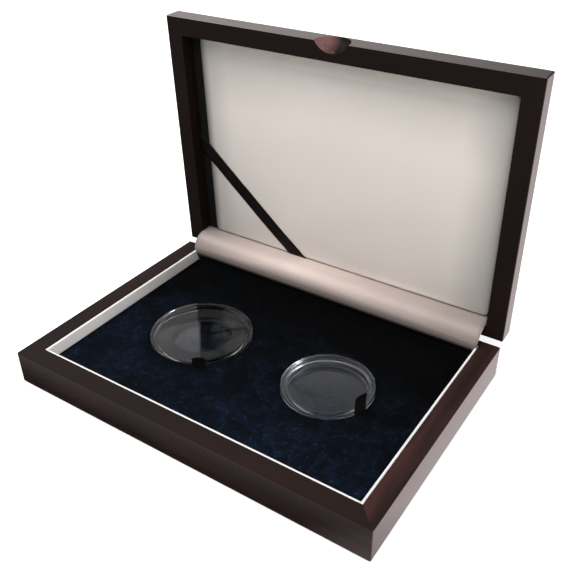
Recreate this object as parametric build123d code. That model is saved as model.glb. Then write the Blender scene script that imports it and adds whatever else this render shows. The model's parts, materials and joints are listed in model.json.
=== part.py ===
from build123d import *

import os
from math import acos, atan2, cos, degrees, radians, sin

# Hinged wooden display case for two coins in clear capsules. Millimetres, +Z up.
# Origin: centre of the felted underside. +X is to the right, +Y towards the hinges.
# The lid stands open; its pieces are made closed and then turned about the hinge pins.

# ---- Driving dimensions ------------------------------------------------------------
case_width = 180.0  # along X
case_depth = 121.0  # along Y
base_height = 17.0  # surface it stands on, up to the base's rim
lid_height = 9.0
rim_width = 8.5  # front and side rails of base and lid
hinge_rail_width = 4.0  # rear rails, slimmer to leave room for the hinge cover
edge_radius = 0.6
rim_gap = 0.2  # between the two rims when the lid is shut
open_angle = 88.0  # degrees, where the hinges stop the lid

bottom_thickness = 3.0
lid_panel_thickness = 2.0
rebate_width = 4.0  # ledge for the panels in the front and side rails
hinge_rail_rebate = 2.0  # the same ledge in the rear rails
panel_play = 0.1
felt_thickness = 0.8
felt_inset = 3.0
felt_corner = 4.0

liner_thickness = 1.3
liner_drop = 0.3  # top edge of the lining strips below the rim
velvet_drop = 6.0  # velvet surface below the rim
velvet_thickness = 2.0  # with the wadding under it
velvet_lip = 0.6  # where the velvet turns down into each pocket
tray_play = 0.15
pocket_spacing = 69.8  # between the centres of the two pockets
pocket_depth = 5.2
pocket_play = 0.35  # round each capsule

left_capsule_diameter = 48.5
right_capsule_diameter = 41.2
capsule_height = 6.0
capsule_floor = 1.2
capsule_wall = 1.4
capsule_joint_height = 3.4  # where the two halves meet on the outside
capsule_joint_gap = 0.1
capsule_fit = 0.1  # skirt of the top half inside the wall of the bottom half
capsule_skirt = 1.1
capsule_skirt_gap = 0.2  # between the skirt's end and the floor
capsule_lens = 1.2
capsule_lens_drop = 0.4  # lens below its own stacking rim
capsule_stack_rim = 1.6
capsule_bevel = 0.4
capsule_seat_gap = 0.2
tab_width = 6.0  # ribbon tabs for lifting the capsules
tab_thickness = 0.3
tab_corner = 1.2
tab_play = 0.1  # round each tab in its slot
left_tab_rise = 5.0  # above the velvet
right_tab_rise = 9.5
left_tab_bearing = -54.0  # degrees round the pocket, from +X
right_tab_bearing = -20.0
ring_bore_diameter = 28.6
ring_thickness = 2.8
ring_play = 0.15

hinge_setback = 1.5  # pin's centre behind the rear faces
hinge_inset = 38.0  # middle of each hinge, in from the side faces
hinge_length = 22.0
hinge_end_knuckle = 6.0
knuckle_clearance = 0.15
knuckle_side_gap = 0.2
pin_radius = 0.6
pin_fit = 0.05
leaf_thickness = 0.8
leaf_gap = 0.15  # leaf edge to the joint line
base_leaf_height = 9.0
lid_leaf_height = 7.0
mortise_play = 0.1
stop_tooth_length = 2.0
stop_tooth_width = 5.0
stop_tooth_thickness = 0.7
stop_tooth_gap = 0.2  # to the base leaf, with the lid open
screw_pitch = 13.0
screw_head_radius = 1.2
screw_shank_radius = 0.5
screw_length = 3.1
screw_slot_width = 0.3
screw_slot_depth = 0.3
screw_play = 0.05

cover_radius = 8.3  # outside of the hinge cover, about the pins
cover_thickness = 0.9
cover_clearance = 0.3
cover_tail = 3.6  # how far it is tucked down behind the tray

board_thickness = 1.0
pad_inset = 1.2  # gap between the pad and the lid's walls
pad_rise = 1.2  # crown of the pad above its board
pad_shoulder_rise = 0.8
pad_shoulder = 1.0
pad_crown_inset = 9.0
pad_corner = 2.0
pad_seam_gap = 0.5  # crease between the pad and the hinge cover

ribbon_width = 6.8
ribbon_thickness = 0.25
ribbon_clearance = 0.12
ribbon_side_reach = 57.5  # where it leaves the left wall, from the hinge pins
ribbon_foot_reach = 57.0  # where it meets the crease, from the left wall

notch_radius = 9.7  # ball-shaped thumb scoop in the lid's front rail
notch_depth = 5.0

# ---- Derived places ----------------------------------------------------------------
half_width = case_width / 2
half_depth = case_depth / 2
inner_x = half_width - rim_width
inner_front = -half_depth + rim_width
inner_rear = half_depth - hinge_rail_width
lid_low = base_height + rim_gap
lid_high = lid_low + lid_height
lid_ceiling = lid_high - lid_panel_thickness
floor_top = felt_thickness + bottom_thickness
axis_y = half_depth + hinge_setback
axis_z = base_height + rim_gap / 2
pins = Axis((0, axis_y, axis_z), (1, 0, 0))
knuckle_radius = hinge_setback - knuckle_clearance
velvet_top = base_height - velvet_drop
core_top = velvet_top - velvet_thickness
tray_x = inner_x - liner_thickness - tray_play
tray_front = inner_front + liner_thickness + tray_play
cover_tail_front = inner_rear - cover_clearance - cover_thickness
tray_rear = cover_tail_front - cover_clearance
pocket_floor = velvet_top - pocket_depth
capsule_low = pocket_floor + capsule_seat_gap
pad_x = inner_x - pad_inset
pad_front = inner_front + pad_inset
pad_rear = axis_y - cover_radius - pad_seam_gap
pad_crown = lid_ceiling - board_thickness - pad_rise
overrun = 1.0  # how far cutting tools pass the faces they cut

nodes = {}


def slab(x, y, z):
    """Box between the two limits given for each axis."""
    size = (x[1] - x[0], y[1] - y[0], z[1] - z[0])
    return Pos(sum(x) / 2, sum(y) / 2, sum(z) / 2) * Box(*size)


def rod(start, radius, length, direction):
    """Round bar from start along direction."""
    return extrude(Plane(start, z_dir=direction) * Circle(radius), length)


def opened(shape):
    """Turn a piece of the shut lid to where the hinges stop it."""
    return shape.rotate(pins, -open_angle)


# ---- Mitred frames of base and lid ---------------------------------------------------
def rail_frame(low, high, ledge):
    """Ring of four rails in one: rounded outside, open inside, with a ledge for a panel."""
    ring = slab((-half_width, half_width), (-half_depth, half_depth), (low, high))
    ring = fillet(ring.edges(), edge_radius)
    ring -= slab((-inner_x, inner_x), (inner_front, inner_rear), (low - overrun, high + overrun))
    ledge_x = inner_x + rebate_width
    ledge_y = (inner_front - rebate_width, inner_rear + hinge_rail_rebate)
    return ring - slab((-ledge_x, ledge_x), ledge_y, ledge)


def prism(points, low, high):
    """Upright prism on a plan outline."""
    return extrude(Pos(0, 0, low) * make_face(Polyline(*points, close=True)), high - low)


def split_rails(ring, low, high):
    """Cut a frame into rails: front corners mitred, rear rail butted between the sides."""
    far_x, far_y = half_width + overrun, half_depth + overrun
    low, high = low - overrun, high + overrun
    mitre = (inner_x, -half_depth + rim_width)
    front = [(-far_x, -far_y), (far_x, -far_y), mitre, (-mitre[0], mitre[1])]
    right = [(far_x, -far_y), (far_x, far_y), (inner_x, far_y), mitre]
    left = [(-x, y) for x, y in right]
    rear = [(-inner_x, 0), (inner_x, 0), (inner_x, far_y), (-inner_x, far_y)]
    outlines = {"front": front, "left": left, "right": right, "rear": rear}
    return {side: ring & prism(outline, low, high) for side, outline in outlines.items()}


def ledge_panel(low, high):
    """Thin panel that drops onto the ledge of a frame."""
    x = inner_x + rebate_width - panel_play
    y = (inner_front - rebate_width + panel_play, inner_rear + hinge_rail_rebate - panel_play)
    return slab((-x, x), y, (low, high))


def base_case():
    """Rails, bottom panel and underside felt of the base."""
    low, high = felt_thickness, base_height
    ring = rail_frame(low, high, (low - overrun, floor_top))
    rails = split_rails(ring, low, high)
    rails["rear"] -= hinge_seats((axis_z - base_leaf_height, axis_z), -1)
    for side, rail in rails.items():
        nodes[f"base_{side}_rail"] = rail
    nodes["base_bottom_panel"] = ledge_panel(low, floor_top)
    outline = RectangleRounded(case_width - 2 * felt_inset, case_depth - 2 * felt_inset, felt_corner)
    nodes["underside_felt"] = extrude(outline, felt_thickness)


def lid_case():
    """Rails and top panel of the lid, with the thumb scoop in the front rail."""
    ring = rail_frame(lid_low, lid_high, (lid_ceiling, lid_high + overrun))
    rails = split_rails(ring, lid_low, lid_high)
    scoop = Pos(0, -half_depth + notch_depth - notch_radius, lid_low) * Sphere(notch_radius)
    rails["front"] -= scoop
    rails["rear"] -= hinge_seats((axis_z, axis_z + lid_leaf_height), 1)
    for side, rail in rails.items():
        nodes[f"lid_{side}_rail"] = opened(rail)
    nodes["lid_top_panel"] = opened(ledge_panel(lid_ceiling, lid_high))


# ---- Stop hinges ---------------------------------------------------------------------
def hinge_places():
    x = half_width - hinge_inset
    return {"left": -x, "right": x}


def screw_places(x, side):
    """Two screws in one leaf; side is -1 in the base and 1 in the lid."""
    height = base_leaf_height if side < 0 else lid_leaf_height
    z = axis_z + side * (height + knuckle_radius) / 2
    return [(x + offset, half_depth, z) for offset in (-screw_pitch / 2, screw_pitch / 2)]


def hinge_seats(z, side):
    """Mortises and pilot holes that one rear rail gets for both hinges."""
    reach = hinge_length / 2 + mortise_play
    z = (z[0] - (mortise_play if side < 0 else overrun), z[1] + (overrun if side < 0 else mortise_play))
    seats = []
    for x in hinge_places().values():
        seats.append(slab((x - reach, x + reach), (half_depth - leaf_thickness, axis_y), z))
        for place in screw_places(x, side):
            seats.append(rod(place, screw_shank_radius + screw_play, screw_length + screw_play, (0, -1, 0)))
    return seats


def screw_head(place, play=0.0):
    """Cone as deep as a leaf is thick, driven towards -Y; with play it is the countersink."""
    radii = (screw_head_radius + play, screw_shank_radius + play)
    return Plane(place, z_dir=(0, -1, 0)) * Pos(0, 0, leaf_thickness / 2) * Cone(*radii, leaf_thickness)


def hinge_leaf(x, side, segments, height):
    """Flush leaf with its knuckles rolled round the pin."""
    z = sorted((axis_z + side * leaf_gap, axis_z + side * height))
    leaf = slab((x - hinge_length / 2, x + hinge_length / 2), (half_depth - leaf_thickness, half_depth), z)
    neck_z = sorted((axis_z + side * leaf_gap, axis_z + side * knuckle_radius))
    for start, end in segments:
        leaf += rod((start, axis_y, axis_z), knuckle_radius, end - start, (1, 0, 0))
        leaf += slab((start, end), (half_depth - leaf_thickness, axis_y), neck_z)
    leaf -= rod((x - hinge_length, axis_y, axis_z), pin_radius + pin_fit, 2 * hinge_length, (1, 0, 0))
    for place in screw_places(x, side):
        leaf -= screw_head(place, screw_play)
    return leaf


def stop_tooth(x):
    """Tooth on the lid's knuckle that meets the base leaf when the lid stands open."""
    front = axis_y - hinge_setback + stop_tooth_gap
    tooth = slab(
        (x - stop_tooth_width / 2, x + stop_tooth_width / 2),
        (front, front + stop_tooth_thickness),
        (axis_z - knuckle_radius - stop_tooth_length, axis_z - pin_radius - pin_fit - leaf_gap),
    )
    return tooth.rotate(pins, open_angle)


def hinge_pin(x):
    """Plain pin, cut flush with the outer knuckles."""
    return rod((x - hinge_length / 2, axis_y, axis_z), pin_radius, hinge_length, (1, 0, 0))


def screw(place):
    """Slotted countersunk screw."""
    x, y, z = place
    slot = slab(
        (x - screw_head_radius, x + screw_head_radius),
        (y - screw_slot_depth, y + overrun),
        (z - screw_slot_width / 2, z + screw_slot_width / 2),
    )
    return screw_head(place) + rod(place, screw_shank_radius, screw_length, (0, -1, 0)) - slot


def hinges():
    """Two butt hinges let flush into the rear faces, with stop teeth and screws."""
    base_screws, lid_screws = [], []
    for side, x in hinge_places().items():
        ends = (x - hinge_length / 2, x + hinge_length / 2)
        inner = (ends[0] + hinge_end_knuckle, ends[1] - hinge_end_knuckle)
        outer_segments = [(ends[0], inner[0]), (inner[1], ends[1])]
        middle = [(inner[0] + knuckle_side_gap, inner[1] - knuckle_side_gap)]
        nodes[f"{side}_hinge_base_leaf"] = hinge_leaf(x, -1, outer_segments, base_leaf_height)
        lid_leaf = hinge_leaf(x, 1, middle, lid_leaf_height) + stop_tooth(x)
        nodes[f"{side}_hinge_lid_leaf"] = opened(lid_leaf)
        nodes[f"{side}_hinge_pin"] = hinge_pin(x)
        base_screws += [screw(place) for place in screw_places(x, -1)]
        lid_screws += [opened(screw(place)) for place in screw_places(x, 1)]
    nodes["hinge_base_screws"] = Compound(base_screws)
    nodes["hinge_lid_screws"] = Compound(lid_screws)


# ---- Hinge cover ----------------------------------------------------------------------
def hinge_cover():
    """Curved leatherette strip over the gap: an arc about the pins between two straight tails."""
    outer, inner = cover_radius, cover_radius - cover_thickness
    tail_rear = cover_tail_front + cover_thickness
    turn = radians(open_angle)
    tuck = lid_ceiling - lid_low - cover_clearance

    def round_point(radius, angle):
        return (axis_y - radius * cos(angle), axis_z + radius * sin(angle))

    def into_lid(radius):
        y, z = round_point(radius, turn)
        return (y + tuck * sin(turn), z + tuck * cos(turn))

    outer_start = -acos((axis_y - cover_tail_front) / outer)
    inner_start = -acos((axis_y - tail_rear) / inner)
    tail_low = velvet_top - cover_tail
    outline = [
        Line((cover_tail_front, tail_low), round_point(outer, outer_start)),
        ThreePointArc(round_point(outer, outer_start), round_point(outer, 0), round_point(outer, turn)),
        Polyline(round_point(outer, turn), into_lid(outer), into_lid(inner), round_point(inner, turn)),
        ThreePointArc(round_point(inner, turn), round_point(inner, 0), round_point(inner, inner_start)),
        Polyline(round_point(inner, inner_start), (tail_rear, tail_low), (cover_tail_front, tail_low)),
    ]
    section = Plane.YZ * make_face(outline)
    strip = extrude(section, inner_x - cover_clearance, both=True)
    # Below the rim the strip is cut narrower, to pass between the side linings.
    side_x = inner_x - liner_thickness - cover_clearance
    for side in (-1, 1):
        x = sorted((side * side_x, side * (half_width + overrun)))
        strip -= slab(x, (inner_front, axis_y), (0, base_height + cover_clearance))
    nodes["hinge_cover"] = strip


# ---- Lining strips and coin tray --------------------------------------------------------
def linings():
    """Card strips wrapped in leatherette along the inside of the base."""
    z = (floor_top, base_height - liner_drop)
    y = (inner_front, inner_rear)
    nodes["left_lining"] = slab((-inner_x, -inner_x + liner_thickness), y, z)
    nodes["right_lining"] = slab((inner_x - liner_thickness, inner_x), y, z)
    front_x = inner_x - liner_thickness
    front_y = (inner_front, inner_front + liner_thickness)
    nodes["front_lining"] = slab((-front_x, front_x), front_y, z)


def pocket_places():
    """Centre and capsule diameter of each pocket; both lie midway along the tray."""
    y = (tray_front + tray_rear) / 2
    return {
        "left": (-pocket_spacing / 2, y, left_capsule_diameter),
        "right": (pocket_spacing / 2, y, right_capsule_diameter),
    }


def coin_tray():
    """Foam block with two bores, and the wadded velvet that covers it and lines the pockets."""
    x, y = (-tray_x, tray_x), (tray_front, tray_rear)
    core = slab(x, y, (floor_top, core_top))
    velvet = slab(x, y, (core_top, velvet_top))
    for px, py, diameter in pocket_places().values():
        hole = diameter / 2 + pocket_play
        cup_low = pocket_floor - velvet_thickness
        cup = rod((px, py, cup_low), hole + velvet_thickness, velvet_top - cup_low, (0, 0, 1))
        core -= cup
        velvet += cup
    for px, py, diameter in pocket_places().values():
        hole = diameter / 2 + pocket_play
        velvet -= rod((px, py, pocket_floor), hole, pocket_depth + overrun, (0, 0, 1))
    lips = velvet.edges().filter_by(GeomType.CIRCLE).group_by(Axis.Z)[-1]
    nodes["tray_core"] = core
    nodes["tray_velvet"] = chamfer(lips, velvet_lip)


def lift_tabs():
    """Upright end of the ribbon under each capsule, in a slot in its pocket's wall."""
    bearings = {"left": (left_tab_bearing, left_tab_rise), "right": (right_tab_bearing, right_tab_rise)}
    for side, (px, py, diameter) in pocket_places().items():
        bearing, rise = bearings[side]
        stand = Pos(px, py, 0) * Rot(0, 0, bearing)
        near = diameter / 2 + pocket_play
        half = tab_width / 2
        tab = slab((near, near + tab_thickness), (-half, half), (pocket_floor, velvet_top + rise))
        corners = tab.edges().filter_by(Axis.X).group_by(Axis.Z)[-1]
        reach = (diameter / 2, near + tab_thickness + tab_play)
        slot = slab(reach, (-half - tab_play, half + tab_play), (pocket_floor, velvet_top + overrun))
        nodes["tray_velvet"] -= stand * slot
        nodes[f"{side}_lift_tab"] = stand * fillet(corners, tab_corner)


# ---- Coin capsules ----------------------------------------------------------------------
def turned(points, place):
    """Solid of revolution from a half section, set upright at place."""
    section = make_face(Polyline(*[(r, 0, z) for r, z in points], close=True))
    return Pos(*place) * revolve(section, Axis.Z)


def capsule_halves(radius, place):
    """Bottom cup and push-fit top of one clear capsule."""
    wall = radius - capsule_wall
    skirt = wall - capsule_fit
    cavity = skirt - capsule_skirt
    lens_top = capsule_height - capsule_lens_drop
    lens_low = lens_top - capsule_lens
    flange = capsule_joint_height + capsule_joint_gap
    bottom = [
        (0, 0),
        (radius - capsule_bevel, 0),
        (radius, capsule_bevel),
        (radius, capsule_joint_height),
        (wall, capsule_joint_height),
        (wall, capsule_floor),
        (0, capsule_floor),
    ]
    top = [
        (0, lens_low),
        (cavity, lens_low),
        (cavity, capsule_floor + capsule_skirt_gap),
        (skirt, capsule_floor + capsule_skirt_gap),
        (skirt, flange),
        (radius, flange),
        (radius, capsule_height - capsule_bevel),
        (radius - capsule_bevel, capsule_height),
        (radius - capsule_stack_rim, capsule_height),
        (radius - capsule_stack_rim - capsule_lens_drop, lens_top),
        (0, lens_top),
    ]
    return turned(bottom, place), turned(top, place), cavity


def capsules():
    """Both capsules in their pockets, and the spacer ring that the wider one holds."""
    for side, (px, py, diameter) in pocket_places().items():
        place = (px, py, capsule_low)
        bottom, top, cavity = capsule_halves(diameter / 2, place)
        nodes[f"{side}_capsule_bottom"] = bottom
        nodes[f"{side}_capsule_top"] = top
        if side == "left":
            on_floor = (px, py, capsule_low + capsule_floor)
            ring = rod(on_floor, cavity - ring_play, ring_thickness, (0, 0, 1))
            ring -= rod(on_floor, ring_bore_diameter / 2, ring_thickness, (0, 0, 1))
            nodes["left_capsule_ring"] = ring


# ---- Lid lining and certificate ribbon -----------------------------------------------------
def lid_lining():
    """Board behind the lid's satin, and the padded face, crowned from its edges inwards."""
    x, y = (-pad_x, pad_x), (pad_front, pad_rear)
    board_low = lid_ceiling - board_thickness
    nodes["lid_pad_board"] = opened(slab(x, y, (board_low, lid_ceiling)))

    def outline(inset, z):
        size = (2 * (pad_x - inset), pad_rear - pad_front - 2 * inset)
        return Pos(0, (pad_front + pad_rear) / 2, z) * RectangleRounded(*size, pad_corner)

    shoulder = outline(pad_shoulder, board_low - pad_shoulder_rise)
    pad = loft([outline(0, board_low), shoulder, outline(pad_crown_inset, pad_crown)], ruled=True)
    nodes["lid_pad"] = opened(pad)


def certificate_ribbon():
    """Ribbon across the lid's lower left corner, with both ends tucked beside the pad."""
    start = (-inner_x, axis_y - ribbon_side_reach)
    end = (-inner_x + ribbon_foot_reach, pad_rear)
    run = Vector(end[0] - start[0], end[1] - start[1])
    middle = Pos((start[0] + end[0]) / 2, (start[1] + end[1]) / 2, (lid_low + lid_ceiling) / 2)
    turn = Rot(0, 0, degrees(atan2(run.Y, run.X)))
    band = middle * turn * Box(2 * run.length, ribbon_width, lid_ceiling - lid_low)
    high = pad_crown - ribbon_clearance
    low = high - ribbon_thickness
    tuck_x = -pad_x - ribbon_clearance
    tuck_y = pad_rear + ribbon_clearance
    across = slab((tuck_x - ribbon_thickness, pad_x), (pad_front, tuck_y + ribbon_thickness), (low, high))
    tuck_z = (low, lid_ceiling - ribbon_clearance)
    side_tuck = slab((tuck_x - ribbon_thickness, tuck_x), (pad_front, tuck_y), tuck_z)
    foot_tuck = slab((tuck_x, pad_x), (tuck_y, tuck_y + ribbon_thickness), tuck_z)
    nodes["certificate_ribbon"] = opened((band & across) + (band & side_tuck) + (band & foot_tuck))


def main():
    base_case()
    lid_case()
    hinges()
    hinge_cover()
    linings()
    coin_tray()
    lift_tabs()
    capsules()
    lid_lining()
    certificate_ribbon()
    os.makedirs("parts", exist_ok=True)
    for name, shape in nodes.items():
        export_step(shape, f"parts/{name}.step")
        print(name, round(shape.volume, 2))


main()
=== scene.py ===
import json
from math import acos, cos, pi, radians, sin, sqrt

import bpy
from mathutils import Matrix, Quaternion, Vector, noise
from mathutils.geometry import delaunay_2d_cdt


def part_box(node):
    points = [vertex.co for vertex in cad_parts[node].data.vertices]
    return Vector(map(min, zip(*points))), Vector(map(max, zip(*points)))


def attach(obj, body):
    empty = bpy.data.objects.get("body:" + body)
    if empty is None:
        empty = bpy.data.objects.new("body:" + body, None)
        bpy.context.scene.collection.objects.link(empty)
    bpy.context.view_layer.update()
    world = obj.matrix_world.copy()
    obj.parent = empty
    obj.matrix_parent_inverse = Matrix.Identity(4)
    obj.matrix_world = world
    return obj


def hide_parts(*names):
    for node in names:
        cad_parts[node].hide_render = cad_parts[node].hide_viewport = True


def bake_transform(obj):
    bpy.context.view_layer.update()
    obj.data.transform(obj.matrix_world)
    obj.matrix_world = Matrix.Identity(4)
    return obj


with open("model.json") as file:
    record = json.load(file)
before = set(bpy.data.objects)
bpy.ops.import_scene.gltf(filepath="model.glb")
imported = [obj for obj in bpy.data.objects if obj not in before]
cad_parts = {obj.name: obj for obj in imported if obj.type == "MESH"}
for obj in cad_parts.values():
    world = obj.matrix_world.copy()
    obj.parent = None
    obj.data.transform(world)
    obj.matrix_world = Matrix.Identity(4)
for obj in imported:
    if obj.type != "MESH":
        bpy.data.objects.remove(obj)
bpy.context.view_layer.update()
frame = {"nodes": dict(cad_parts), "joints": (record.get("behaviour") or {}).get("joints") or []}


# ---- Rails and panels --------------------------------
# Eight hardwood rails and two thin panels, stained dark mahogany and sprayed with
# lacquer. The front corners are mitred and glued; the outer faces are buffed glossy,
# and the narrow rims where base and lid meet are only rubbed down.
mm = 0.001
rail_dark = (0.0095, 0.0062, 0.0055, 1)
rail_red = (0.0370, 0.0150, 0.0138, 1)
base_redness, lid_redness = 1.0, 0.35
rim_redness = {"front": 0.3, "rear": 0.55, "left": 0.6, "right": 1.6}
grain_along, grain_across = 9.0, 170.0
pore_along, pore_across = 90.0, 2600.0
pore_black = (0.003, 0.002, 0.002, 1)
pore_share = 0.2
pore_depth = 0.008 * mm
peel_depth = 0.006 * mm
face_roughness, rim_roughness = 0.16, 0.5
buffed_gloss, rim_gloss = 0.15, 0.07
buffed_facing = 0.6
notch_reach = 9.0 * mm
notch_flat = 0.98
# The scoop's colour is painted light: red toward its left, where light falls, and black toward its right as
# painted shade.
notch_shaded_x, notch_lit_x = 1.0 * mm, -5.0 * mm
notch_shade_black = (0.005, 0.003, 0.003, 1)
notch_lit_red = (0.155, 0.082, 0.078, 1)
notch_fibre = 0.03 * mm


def material_tree(name):
    """A new material, its node tree and its surface shader."""
    material = bpy.data.materials.new(name)
    material.use_nodes = True
    tree = material.node_tree
    return material, tree, tree.nodes["Principled BSDF"]


def fill(tree, sockets, values):
    """Sets each socket to its value, or links it where the value is a socket too."""
    for socket, value in zip(sockets, values):
        if isinstance(value, bpy.types.NodeSocket):
            tree.links.new(value, socket)
        else:
            socket.default_value = value


def add(tree, kind, *values, **given):
    """One node: its inputs filled in order, or each by its name, and its settings by theirs."""
    made = tree.nodes.new("ShaderNode" + kind)
    fill(tree, made.inputs, values)
    for key, value in given.items():
        name = key.replace("_", " ")
        if name in made.inputs:
            fill(tree, [made.inputs[name]], [value])
        else:
            setattr(made, key, value)
    return made.outputs[0]


def maths(tree, operation, a, b=0.5):
    return add(tree, "Math", a, b, operation=operation)


def times(tree, a, b):
    return maths(tree, "MULTIPLY", a, b)


def spot(tree, *scale):
    """The point on the piece, in metres, stretched by scale."""
    place = tree.nodes.new("ShaderNodeTexCoord").outputs["Object"]
    return add(tree, "Mapping", Vector=place, Scale=scale or (1, 1, 1))


def axes(tree, place):
    """The x, y and z of a point, as three numbers."""
    made = tree.nodes.new("ShaderNodeSeparateXYZ")
    fill(tree, made.inputs, [place])
    return made.outputs


def clouds(tree, scale, detail, stretch=(1, 1, 1), **given):
    """Soft noise of that many spots to the metre."""
    return add(tree, "TexNoise", Vector=spot(tree, *stretch), Scale=scale, Detail=detail, **given)


def ramp(tree, value, low, high, start=0.0, end=1.0):
    """Start below low and end above high, even between them."""
    return add(tree, "MapRange", Value=value, From_Min=low, From_Max=high, To_Min=start, To_Max=end)


def blend_colours(tree, share, first, second):
    return add(tree, "MixRGB", Fac=share, Color1=first, Color2=second)


def bumps(tree, height, depth, below=None):
    """Surface relief of that depth in metres, laid over another relief."""
    given = {"Height": height, "Distance": depth}
    if below is not None:
        given["Normal"] = below
    return add(tree, "Bump", **given)


def surface(tree, shader, **given):
    """Sets or links the shader's inputs by name."""
    fill(tree, [shader.inputs[key.replace("_", " ")] for key in given], given.values())


def lacquered_wood(name, grain_axis, redness, rubbed):
    """Lacquer over wood whose grain runs along one axis, buffed or only rubbed down."""
    material, tree, shader = material_tree(name)
    grain_scale = [grain_across] * 3
    grain_scale[grain_axis] = grain_along
    pore_scale = [pore_across] * 3
    pore_scale[grain_axis] = pore_along
    figure = clouds(tree, 1.0, 5.0, grain_scale, Distortion=0.6)
    cloud = clouds(tree, 1.0, 2.0, (14, 14, 14))
    pores = clouds(tree, 1.0, 2.0, pore_scale)
    peel = clouds(tree, 1.0, 1.0, (160, 160, 160))
    smear = clouds(tree, 1.0, 3.0, (60, 60, 60))
    stain = times(tree, ramp(tree, figure, 0.34, 0.72), ramp(tree, cloud, 0.25, 0.75))
    colour = blend_colours(tree, times(tree, stain, redness), rail_dark, rail_red)
    filled = times(tree, ramp(tree, pores, 0.6, 0.85), pore_share)
    colour = blend_colours(tree, filled, colour, pore_black)
    roughness = maths(tree, "ADD", times(tree, smear, 0.1), rim_roughness if rubbed else face_roughness)
    relief = bumps(tree, peel, peel_depth)
    if rubbed:
        relief = bumps(tree, pores, pore_depth, relief)
        surface(tree, shader, Specular_IOR_Level=rim_gloss)
    else:
        surface(tree, shader, Specular_IOR_Level=buffed_gloss, Coat_Weight=1.0, Coat_Roughness=0.06)
    surface(tree, shader, Base_Color=colour, Roughness=roughness, Normal=relief, IOR=1.5)
    return material


def finish_node(name, material):
    """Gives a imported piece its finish."""
    piece = frame["nodes"][name]
    piece.data.materials.clear()
    piece.data.materials.append(material)
    return piece


def scoop_wood_painted_light():
    """The scoop that the thumb lifts the lid by: little lacquer, with painted light making its left red and
    painted shade making its right black.
    """
    material, tree, shader = material_tree("scoop_wood_painted_light")
    x = axes(tree, spot(tree))["X"]
    fibre = clouds(tree, 1.0, 4.0, (90, 1400, 1400))
    # Painted light makes the scoop red on its left and painted shade makes it black on its right, broken up
    # by the fibre.
    scoop_painted_light = times(tree, ramp(tree, x, notch_shaded_x, notch_lit_x), ramp(tree, fibre, 0.0, 0.5))
    colour = blend_colours(tree, scoop_painted_light, notch_shade_black, notch_lit_red)
    surface(tree, shader, Base_Color=colour, Roughness=0.5, Normal=bumps(tree, fibre, notch_fibre),
            Specular_IOR_Level=0.05)
    return material


joint = next(j for j in frame["joints"] if j["name"] == "lid_hinge")
hinge_y, hinge_z = joint["pos_m"][1], joint["pos_m"][2]
lean = radians(90 - max(abs(limit) for limit in joint["range_deg"]))
base_faces = (Vector((0, -1, 0)), Vector((0, 0, -1)))
lid_faces = (Vector((0, -sin(lean), cos(lean))), Vector((0, cos(lean), sin(lean))))
shell_parts = (("base", "bottom", *base_faces, base_redness, 1), ("lid", "top", *lid_faces, lid_redness, 2))
for part, closing, front, below, redness, upright in shell_parts:
    panel = lacquered_wood(f"lacquer_{part}_panel", 0, redness, False)
    finish_node(f"{part}_{closing}_panel", panel)
    outward = {"front": front, "rear": -front, "left": Vector((-1, 0, 0)), "right": Vector((1, 0, 0))}
    for side, facing in outward.items():
        grain = upright if side in ("left", "right") else 0
        buffed = lacquered_wood(f"lacquer_{part}_{side}", grain, redness, False)
        rubbed = lacquered_wood(f"rubbed_{part}_{side}", grain, redness * rim_redness[side], True)
        rail = finish_node(f"{part}_{side}_rail", buffed)
        rail.data.materials.append(rubbed)
        for face in rail.data.polygons:
            face.material_index = int(max(face.normal.dot(facing), face.normal.dot(below)) < buffed_facing)
        if (part, side) == ("lid", "front"):
            rail.data.materials.append(scoop_wood_painted_light())
            for face in rail.data.polygons:
                squareness = max(abs(face.normal.dot(facing)), abs(face.normal.dot(below)))
                if abs(face.center.x) < notch_reach and squareness < notch_flat:
                    face.material_index = 2


# ---- Underside felt ----------------------------------
# A rounded rectangle of black felt, glued flat under the base so that the case slides
# without scratching. Its cut edge is soft.
felt_low, felt_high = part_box("underside_felt")
felt_corner = 4.0 * mm
felt_soft_edge = 0.2 * mm
felt_black, felt_worn = (0.006, 0.006, 0.007, 1), (0.022, 0.022, 0.025, 1)
fibre_depth, matted_depth = 0.12 * mm, 0.2 * mm


def mesh_piece(name, points, faces, material):
    """A smooth-shaded mesh object in the case's own frame."""
    mesh = bpy.data.meshes.new(name)
    mesh.from_pydata([tuple(p) for p in points], [], [tuple(f) for f in faces])
    mesh.validate()
    mesh.shade_smooth()
    mesh.materials.append(material)
    piece = bpy.data.objects.new(name, mesh)
    bpy.context.scene.collection.objects.link(piece)
    return piece


def rounded_outline(half_x, half_y, radius, steps=6):
    """Points round a rectangle with round corners, anticlockwise about the origin."""
    points = []
    for corner, (sx, sy) in enumerate(((1, 1), (-1, 1), (-1, -1), (1, -1))):
        for step in range(steps + 1):
            angle = pi / 2 * (corner + step / steps)
            points.append((sx * (half_x - radius) + radius * cos(angle),
                           sy * (half_y - radius) + radius * sin(angle)))
    return points


def stacked_rings(rings):
    """Closed skin over rings of equally many points, with both ends capped."""
    count = len(rings[0])
    points = [p for ring in rings for p in ring]
    faces = []
    for level in range(len(rings) - 1):
        for i in range(count):
            a, b = level * count + i, level * count + (i + 1) % count
            faces.append((a, b, b + count, a + count))
    faces.append(tuple(reversed(range(count))))
    faces.append(tuple(range((len(rings) - 1) * count, len(rings) * count)))
    return points, faces


def felt_cloth():
    material, tree, shader = material_tree("black_felt")
    fibre = clouds(tree, 2400.0, 4.0)
    matted = clouds(tree, 160.0, 3.0)
    colour = blend_colours(tree, ramp(tree, fibre, 0.35, 0.7), felt_black, felt_worn)
    relief = bumps(tree, fibre, fibre_depth, bumps(tree, matted, matted_depth))
    surface(tree, shader, Base_Color=colour, Roughness=0.95, Normal=relief, Sheen_Weight=0.4)
    return material


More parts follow.
